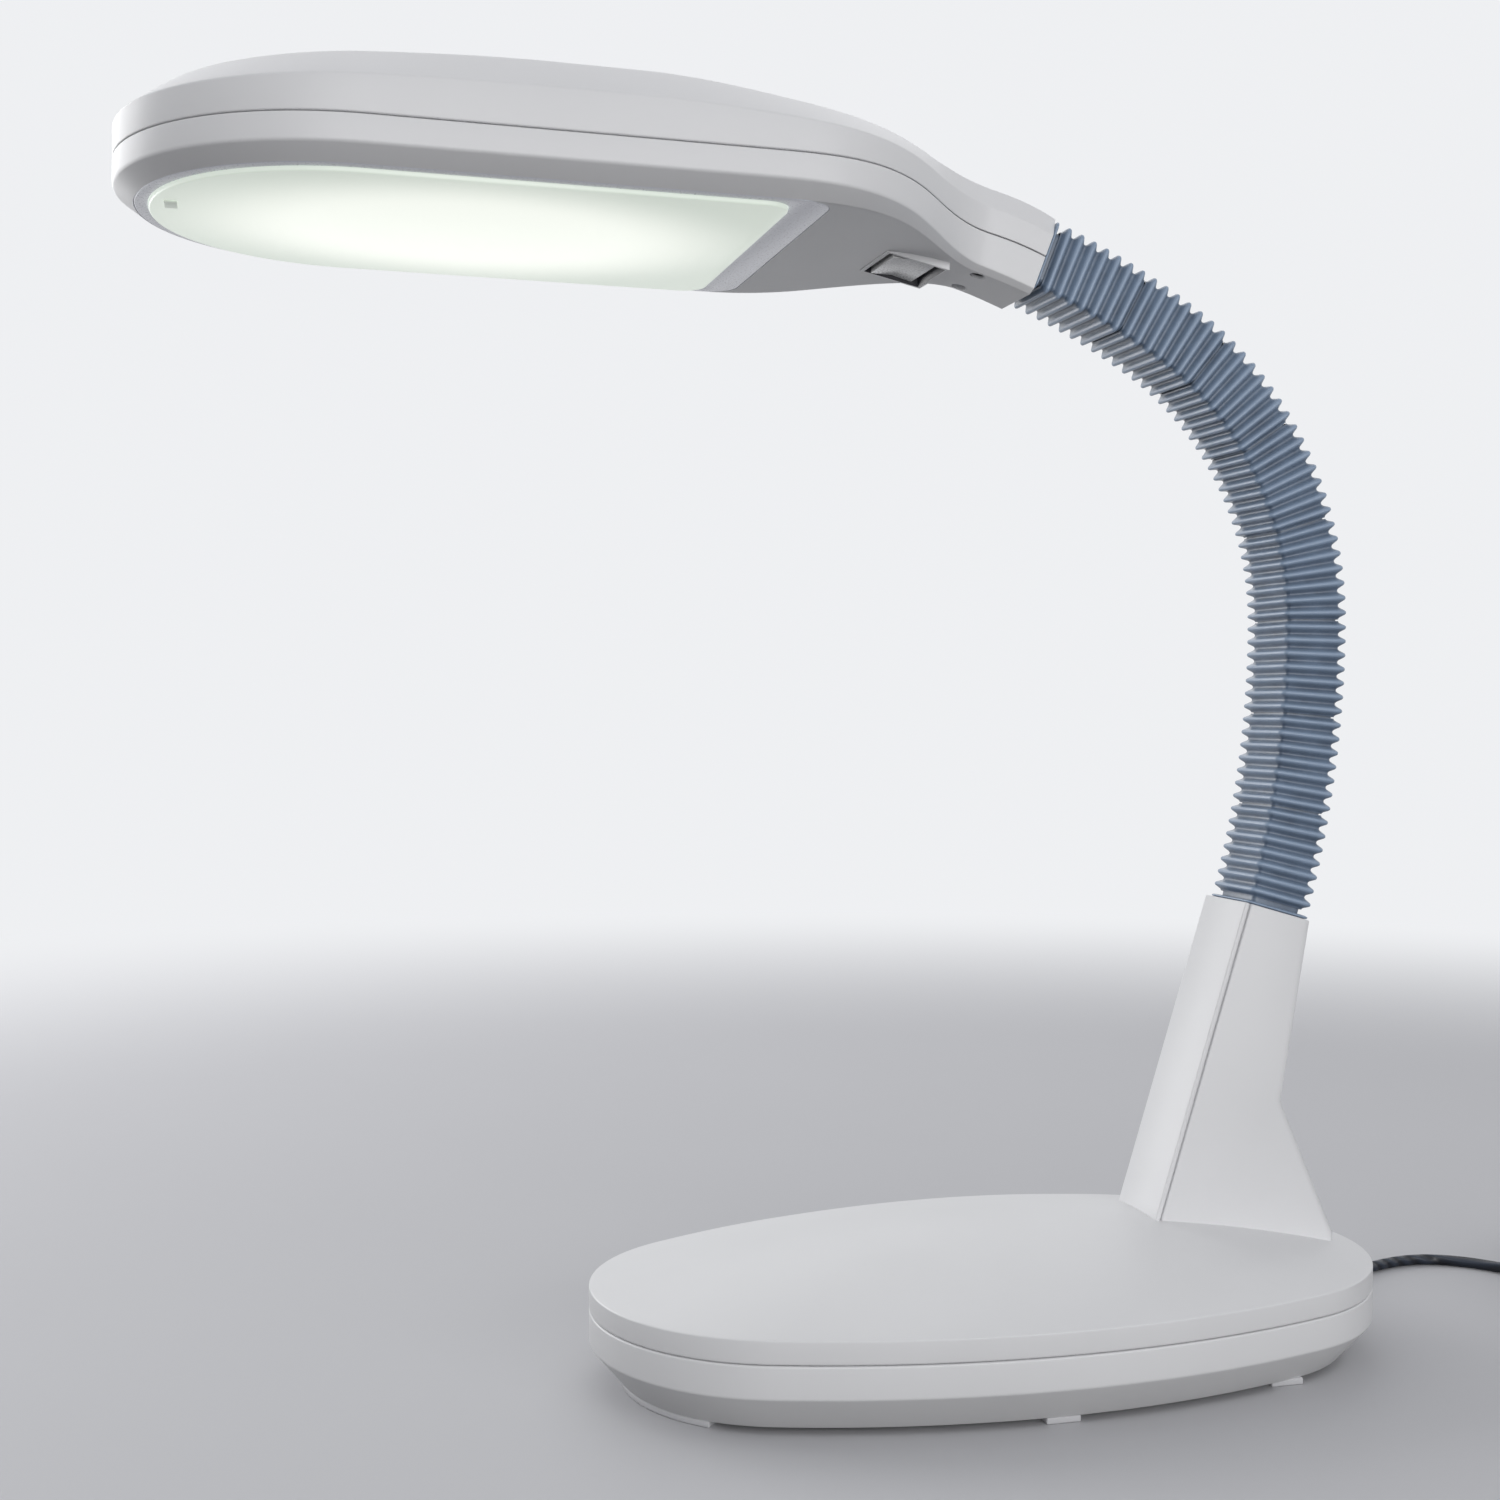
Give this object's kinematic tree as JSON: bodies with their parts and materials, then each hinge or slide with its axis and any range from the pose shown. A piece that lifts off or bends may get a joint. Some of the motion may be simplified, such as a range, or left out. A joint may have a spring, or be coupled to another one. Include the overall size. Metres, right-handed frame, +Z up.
{
  "type": "gooseneck desk lamp",
  "caption": "Desk lamp with a weighted oval base, a leaning stem, a ribbed bendable neck and a flat racetrack-shaped lit head with a rocker switch under it.",
  "frame": {"origin": "on the table, under the middle of the oval base, on the underside of its middle foot pad", "axes": "+Z up, +X from the head towards the stem and the cord, +Y across the lamp; the lamp's middle plane is y = 0"},
  "size_m": [0.5564, 0.142, 0.3874],
  "materials": {
    "white_plastic": "satin moulded",
    "frame_plastic": "satin pale grey",
    "lens_diffuser": "milky, lit from behind",
    "hose_rubber": "soft satin",
    "steel": "plated",
    "cast_weight": "rough cast",
    "foot_rubber": "soft matt",
    "cord_rubber": "satin",
    "adapter_plastic": "fine grain",
    "rocker_plastic": "satin gloss",
    "reflector_plastic": "white reflective",
    "board_white": "solder mask",
    "board_green": "solder mask",
    "chip_yellow": "phosphor",
    "driver_dark": "moulded"
  },
  "bodies": {
    "base": {"base_top_cover": "white_plastic", "base_tray": "white_plastic", "base_weight": "cast_weight", "base_feet": "foot_rubber", "base_screws": "steel", "cord_gland": "cord_rubber", "stem_front_cover": "white_plastic", "stem_rear_shell": "white_plastic", "stem_screw": "steel", "stem_lead": "cord_rubber", "neck_lower_fitting": "steel", "neck_lower_nut": "steel", "neck_lower_cuff": "hose_rubber", "power_cord": "cord_rubber", "cord_coil": "cord_rubber", "cord_tie": "cord_rubber", "adapter_body": "adapter_plastic", "adapter_blades": "steel", "adapter_relief": "cord_rubber"},
    "neck_1": {"neck_sleeve_1": "hose_rubber", "neck_core_1": "steel", "neck_lead_1": "cord_rubber"},
    "neck_2": {"neck_sleeve_2": "hose_rubber", "neck_core_2": "steel", "neck_lead_2": "cord_rubber"},
    "neck_3": {"neck_sleeve_3": "hose_rubber", "neck_core_3": "steel", "neck_lead_3": "cord_rubber"},
    "neck_4": {"neck_sleeve_4": "hose_rubber", "neck_core_4": "steel", "neck_lead_4": "cord_rubber"},
    "neck_5": {"neck_sleeve_5": "hose_rubber", "neck_core_5": "steel", "neck_lead_5": "cord_rubber"},
    "neck_6": {"neck_sleeve_6": "hose_rubber", "neck_core_6": "steel", "neck_lead_6": "cord_rubber"},
    "neck_7": {"neck_sleeve_7": "hose_rubber", "neck_core_7": "steel", "neck_lead_7": "cord_rubber"},
    "neck_8": {"neck_sleeve_8": "hose_rubber", "neck_core_8": "steel", "neck_lead_8": "cord_rubber"},
    "head": {"neck_upper_cuff": "hose_rubber", "neck_upper_fitting": "steel", "neck_upper_nut": "steel", "head_top_cover": "white_plastic", "head_bottom_cover": "white_plastic", "head_screws": "steel", "lens_frame": "frame_plastic", "lens": "lens_diffuser", "lens_catch": "frame_plastic", "reflector_tray": "reflector_plastic", "tray_screws": "steel", "led_board": "board_white", "led_chips": "chip_yellow", "driver_board": "board_green", "driver_parts": "driver_dark", "head_lead": "cord_rubber", "switch_body": "white_plastic"},
    "rocker": {"switch_rocker": "rocker_plastic"}
  },
  "joints": [
    {"name": "neck_pitch_0", "type": "hinge", "parent": "base", "child": "neck_1", "pos_m": [0.09748, 0, 0.14621], "axis": [0, 1, 0], "range_deg": [-6, 12]},
    {"name": "neck_side_1", "type": "hinge", "parent": "neck_1", "child": "neck_2", "pos_m": [0.10458, 0, 0.17701], "axis": [0.9837, 0, -0.18], "range_deg": [-14, 14]},
    {"name": "neck_pitch_2", "type": "hinge", "parent": "neck_2", "child": "neck_3", "pos_m": [0.10885, 0, 0.20834], "axis": [0, 1, 0], "range_deg": [-6, 12]},
    {"name": "neck_pitch_3", "type": "hinge", "parent": "neck_3", "child": "neck_4", "pos_m": [0.11026, 0, 0.23992], "axis": [0, 1, 0], "range_deg": [-6, 12]},
    {"name": "neck_side_4", "type": "hinge", "parent": "neck_4", "child": "neck_5", "pos_m": [0.10558, 0, 0.27108], "axis": [0.957, 0, 0.2902], "range_deg": [-14, 14]},
    {"name": "neck_pitch_5", "type": "hinge", "parent": "neck_5", "child": "neck_6", "pos_m": [0.09216, 0, 0.2996], "axis": [0, 1, 0], "range_deg": [-7, 14]},
    {"name": "neck_pitch_6", "type": "hinge", "parent": "neck_6", "child": "neck_7", "pos_m": [0.07112, 0, 0.32306], "axis": [0, 1, 0], "range_deg": [-7, 14]},
    {"name": "neck_side_7", "type": "hinge", "parent": "neck_7", "child": "neck_8", "pos_m": [0.04459, 0, 0.34018], "axis": [0.475, 0, 0.88], "range_deg": [-14, 14]},
    {"name": "neck_pitch_8", "type": "hinge", "parent": "neck_8", "child": "head", "pos_m": [0.01593, 0, 0.35351], "axis": [0, 1, 0], "range_deg": [-7, 14]},
    {"name": "rocker_tilt", "type": "hinge", "parent": "head", "child": "rocker", "pos_m": [-0.0291, 0, 0.35444], "axis": [0, 1, 0], "range_deg": [-16, 0]}
  ],
  "couplings": [
    {"joint": "neck_pitch_2", "follows": "neck_pitch_0", "ratio": 1},
    {"joint": "neck_pitch_3", "follows": "neck_pitch_0", "ratio": 1},
    {"joint": "neck_pitch_6", "follows": "neck_pitch_5", "ratio": 1},
    {"joint": "neck_pitch_8", "follows": "neck_pitch_5", "ratio": 1},
    {"joint": "neck_side_7", "follows": "neck_side_4", "ratio": 1}
  ]
}
